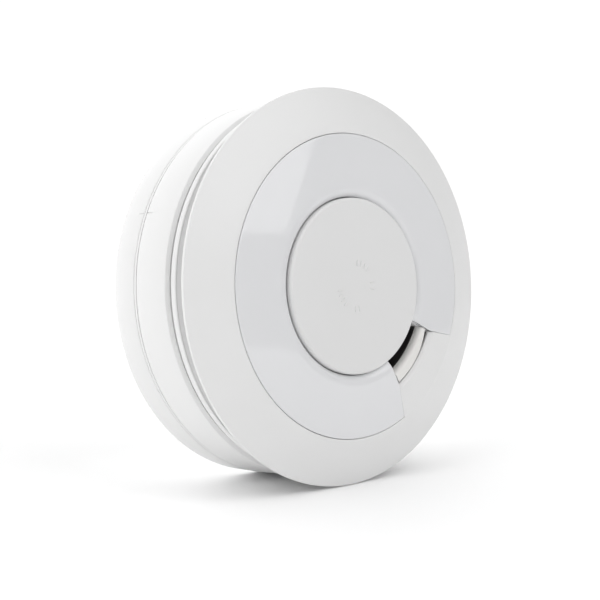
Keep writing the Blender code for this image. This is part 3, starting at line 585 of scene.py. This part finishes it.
def make_side_shells():
    """Rear housing, lip ring and mounting plate, with the two alignment ticks in their sides."""
    lock, unlock = TWIST_TICKS
    seam_r, seam_floor_r, seam_wall = 54.4, 54.05, 0.45
    housing = new_object("rear_housing_shell", turned(rounded([
        (0.0, HEAD_BACK, 0.0), (SKIRT_INNER_R, HEAD_BACK, 0.0), (SKIRT_INNER_R, SKIRT_BACK, 0.3),
        (SKIRT_R, SKIRT_BACK, 0.3), (SKIRT_R, HEAD_BACK, 0.0), (51.0, HEAD_BACK, 0.0),
        (51.2, SEAM_BOTTOM + 0.1, 0.0), (seam_r, SEAM_BOTTOM + 0.1, 0.05),
        (seam_r, SEAM_TOP - seam_wall, 0.0), (seam_floor_r, SEAM_TOP - seam_wall, 0.0),
        (seam_floor_r, SEAM_TOP, 0.0), (BODY_R, SEAM_TOP, 0.2), (BODY_R, BODY_TOP - 1.15, 0.5),
        (BODY_R - 1.0, BODY_TOP - 0.2, 0.1), (BODY_R - 1.2, BODY_TOP - 0.3, 0.1),
        (BODY_INNER_R, BODY_TOP - 0.3, 0.2), (BODY_INNER_R, HEAD_FLOOR, 0.5), (0.0, HEAD_FLOOR, 0.0),
    ])), WHITE, "head")
    carve(housing, bayonet(47.4, 51.0, SKIRT_BACK, 6.0, "tab")
          + bosses("boss", BOARD_SCREWS, 2.9, HEAD_FLOOR - 1.0, 20.7)
          + bosses("seat", PILLARS, 4.4, HEAD_FLOOR - 1.0, 17.0), "UNION")
    peg_slot = slot_across(SLIDE_ANGLE, SLIDE_REACH - SLIDE_TRAVEL / 2, SLIDE_TRAVEL + PEG_WIDTH + 0.2,
                           PEG_WIDTH, HEAD_BACK - 1.0, HEAD_FLOOR + 1.0)
    carve(housing, [cutter("tick_on_head", tick(lock, BODY_R, 10.0, 12.9))]
          + bosses("bore", BOARD_SCREWS, 1.6, HEAD_FLOOR + 1.0, 22.0, 0.0)
          + bosses("counterbore", PILLARS, 3.2, HEAD_BACK - 1.0, 13.5, 0.0)
          + bosses("screw_hole", PILLARS, 1.8, 13.0, 18.0, 0.0)
          + [cutter("peg_slot", peg_slot)])
    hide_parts("rear_housing")
    lip = new_object("inlet_lip", turned(rounded([
        (LIP_INNER_R, LIP_BACK - 0.4, 0.1), (SPIGOT_INNER_R, LIP_BACK - 0.4, 0.1),
        (SPIGOT_INNER_R, SPIGOT_BACK, 0.3), (SPIGOT_R, SPIGOT_BACK, 0.3), (SPIGOT_R, LIP_BACK, 0.1),
        (LIP_R, LIP_BACK, 0.3), (LIP_R, LIP_TOP, 0.4), (LIP_R - 0.5, LIP_TOP, 0.15),
        (51.4, RIDGE_TOP, 0.4), (49.8, RIDGE_TOP, 0.2), (49.6, LIP_FLOOR, 0.2),
        (LIP_INNER_R, LIP_FLOOR, 0.1),
    ])), WHITE, "head")
    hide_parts("inlet_ring")
    plate = new_object("mounting_plate_shell", turned(rounded([
        (0.0, 0.0, 0.0), (PLATE_BACK_R, 0.0, 0.5), (PLATE_R, SEAM_BOTTOM, 0.35),
        (PLATE_INNER_R, SEAM_BOTTOM, 0.2), (PLATE_INNER_R, PLATE_FLOOR, 0.5), (0.0, PLATE_FLOOR, 0.0),
    ])), WHITE, "mounting_plate")
    slots = [cutter(f"slot_{side}", screw_slot(side * SCREW_SLOT_X)) for side in (-1, 1)]
    ticks = [cutter("tick_lock", tick(lock, PLATE_R, 6.8, 9.6)),
             cutter("tick_unlock", tick(unlock, PLATE_R, 0.3, 4.0))]
    carve(plate, bayonet(49.3, PLATE_INNER_R + 1.0, 6.4, 8.6, "lug") + [cam_wall(2.1), cam_wall(-2.1)],
          "UNION")
    carve(plate, slots + ticks)
    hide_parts("mounting_plate")


def make_horn():
    """Off-white flared lip of the sounder's dark horn, which shows in the sound outlet. The groove
    outside the lip narrows towards the lip's lower end. A thin black wall along the groove's outer side
    is painted shade: it stands in for the shade deep in the groove."""
    lip_r, rim_r = 29.8, 31.2
    flare = bezier((lip_r, 38.4), (lip_r, 41.2), (rim_r, HORN_TOP), 12)
    foot_z = HORN_BASE + 0.1
    spread = OUTLET_SPREAD - 0.1
    stations = []
    for angle in arc(SOUND_ANGLE - spread / 2, SOUND_ANGLE + spread / 2):
        share = (angle - SOUND_ANGLE) / spread + 0.5
        outer_r = OUTLET_R - 0.75 - 1.3 * share ** 3
        edge = rounded([(rim_r, HORN_TOP, 0.0), (outer_r, HORN_TOP, 0.4), (outer_r, foot_z, 0.0)], 4)
        stations.append((angle, [(lip_r, foot_z), *flare, *edge[1:]]))
    lip = new_object("horn_lip", swept(stations, False), HORN, "head")
    # Painted shade: the thin black wall just inside the tongue's tip stands in for the shade deep in
    # the groove outside the lip
    shade_wall_r, shade_wall_inner_r = OUTLET_R - 0.08, OUTLET_R - 0.25
    shade_wall_top, throat_top = 39.9, 39.2
    throat = [
        (25.2, HORN_BACK), (33.0, HORN_BACK), (33.0, 34.0), (shade_wall_r, 34.0),
        (shade_wall_r, shade_wall_top), (shade_wall_inner_r, shade_wall_top), (shade_wall_inner_r, HORN_BASE),
        (29.7, HORN_BASE), (29.7, throat_top), (29.5, throat_top), (29.5, HORN_BACK + 0.6),
        (25.2, HORN_BACK + 0.6),
    ]
    skin = sector(throat, SOUND_ANGLE, spread)
    funnel = new_object("horn_throat", skin, BLACK, "head")
    for piece in (lip, funnel):
        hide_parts("sounder_horn")


def dress_cad_nodes():
    """Carried-over pieces keep their shape and take a finish and softened edges."""
    finishes = {
        WHITE: ["inlet_cage", "test_switch_plunger", "power_slide"],
        BLACK: ["sounder_base", "chamber_base", "chamber_cap", "power_switch", "battery_holder"],
        RESIN: ["photodiode", "microcontroller", "test_switch"],
        CLEAR: ["infrared_emitter", "indicator_led", "light_guide"],
        SLEEVE: ["lithium_cell"],
        CERAMIC: ["piezo_ceramic"],
        BOARD: ["circuit_board"],
        STEEL: ["insect_screen", "positive_contact", "negative_contact",
                *[f"board_screw_{n}" for n in range(1, 5)], *[f"cover_screw_{n}" for n in range(1, 4)]],
        ALUMINIUM: ["storage_capacitor"],
        BRASS: ["piezo_disc"],
        COPPER: ["sounder_coil"],
    }
    for material, names in finishes.items():
        for name in names:
            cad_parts[name].material_slots[0].material = material
            soften(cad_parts[name], 0.12)


# Stage -----------------------------------------------------------------------------------------

AMBIENT = 0.1
GLOWS = (                       # direction, tightness, strength
    ((0.65, 0.75, 0.0), 2.0, 1.03),
    ((0.0, 1.0, 0.0), 4.0, 2.4),
    ((0.2, 0.3, 0.9), 6.0, 0.31),
    ((-0.7, 0.0, 0.2), 8.0, 2.61),
    ((-0.3, 0.1, 0.95), 4.0, 0.9),
    ((0.62, -0.35, 0.7), 20.0, 0.26),
)


def make_floor():
    """Pale floor that touches the rims of the flange and the plate, on which the alarm stands."""
    rise = math.atan((FLANGE_R - PLATE_BACK_R) / RIM_BACK)
    bm = bmesh.new()
    bmesh.ops.create_grid(bm, x_segments=1, y_segments=1, size=0.5)
    bmesh.ops.translate(bm, vec=(0.0, -0.38, 0.0), verts=bm.verts)
    bmesh.ops.rotate(bm, matrix=Matrix.Rotation(rise, 3, "X"), verts=bm.verts)
    bmesh.ops.translate(bm, vec=(0.0, 0.0, -(PLATE_BACK_R + 0.1) * MM), verts=bm.verts)
    material, nodes, links, shader, coords = shader_tree("pale_floor")
    drift = noise(nodes, links, coords, 6.0)
    colour = ramp_between(nodes, links, drift.outputs["Fac"], (0.95,) * 3, (0.96,) * 3)
    links.new(colour, shader.inputs["Base Color"])
    shader.inputs["Roughness"].default_value = 0.7
    floor = new_object("floor", bm, material, None)
    return floor


def make_world():
    """White studio whose walls glow unevenly: an even base and a few broad soft glows."""
    world = bpy.data.worlds.new("studio")
    bpy.context.scene.world = world
    world.use_nodes = True
    nodes, links = world.node_tree.nodes, world.node_tree.links
    coords = nodes.new("ShaderNodeTexCoord")
    total = None
    for direction, tightness, strength in GLOWS:
        facing = nodes.new("ShaderNodeVectorMath")
        facing.operation = "DOT_PRODUCT"
        links.new(coords.outputs["Generated"], facing.inputs[0])
        facing.inputs[1].default_value = Vector(direction).normalized()
        lit_side = nodes.new("ShaderNodeMath")
        lit_side.operation = "MAXIMUM"
        links.new(facing.outputs["Value"], lit_side.inputs[0])
        lit_side.inputs[1].default_value = 0.0
        falloff = nodes.new("ShaderNodeMath")
        falloff.operation = "POWER"
        links.new(lit_side.outputs["Value"], falloff.inputs[0])
        falloff.inputs[1].default_value = tightness
        added = nodes.new("ShaderNodeMath")
        added.operation = "MULTIPLY_ADD"
        links.new(falloff.outputs["Value"], added.inputs[0])
        added.inputs[1].default_value = strength
        if total:
            links.new(total, added.inputs[2])
        else:
            added.inputs[2].default_value = AMBIENT
        total = added.outputs["Value"]
    # What is seen directly is an even white backdrop, whatever the glows do to the light
    ray = nodes.new("ShaderNodeLightPath")
    seen = nodes.new("ShaderNodeMix")
    links.new(ray.outputs["Is Camera Ray"], seen.inputs["Factor"])
    links.new(total, seen.inputs["A"])
    seen.inputs["B"].default_value = 1.05
    background = nodes["Background"]
    background.inputs["Color"].default_value = (1.0, 1.0, 1.0, 1.0)
    links.new(seen.outputs["Result"], background.inputs["Strength"])


def make_light(name, location, target, size, spin, power):
    data = bpy.data.lights.new(name, "AREA")
    data.shape = "RECTANGLE"
    data.size, data.size_y = size
    data.energy = power
    light = bpy.data.objects.new(name, data)
    bpy.context.scene.collection.objects.link(light)
    light.location = location
    light.visible_camera = False
    light.rotation_mode = "QUATERNION"
    aim = (Vector(target) - Vector(location)).to_track_quat("-Z", "Y")
    light.rotation_quaternion = aim @ Quaternion((0.0, 0.0, 1.0), math.radians(spin))
    return light


def make_camera():
    """The reference view: from the front left, a little above the alarm's axis."""
    data = bpy.data.cameras.new("camera")
    data.lens = 132.0
    data.sensor_width = 36.0
    camera = bpy.data.objects.new("camera", data)
    bpy.context.scene.collection.objects.link(camera)
    roll = Matrix.Rotation(math.radians(5.0), 3, "Y")
    right = roll @ Vector((0.73139, -0.68185, -0.01215))
    up = roll @ Vector((0.0, -0.01781, 0.99984))
    back = roll @ Vector((-0.68196, -0.73128, -0.01303))
    camera.matrix_world = Matrix((
        (right.x, up.x, back.x, 0.0), (right.y, up.y, back.y, 0.0), (right.z, up.z, back.z, 0.0),
        (0.0, 0.0, 0.0, 1.0),
    ))
    camera.location = roll @ Vector((-0.4403, -0.4574, -0.0120)) + Vector((0.0, -0.0337, 0.0))
    data.clip_start, data.clip_end = 0.01, 10.0
    bpy.context.scene.camera = camera


make_front_cover()
make_trim_ring()
make_test_button()
make_button_marks()
make_button_spring()
make_side_shells()
make_horn()
dress_cad_nodes()

make_camera()
make_floor()
make_world()
make_light("top_softbox", (0.285, -0.971, 0.661), (0.0, 0.0, 0.0), (1.15, 1.15), -12.0, 8.6)
bpy.context.scene.view_settings.view_transform = "Standard"
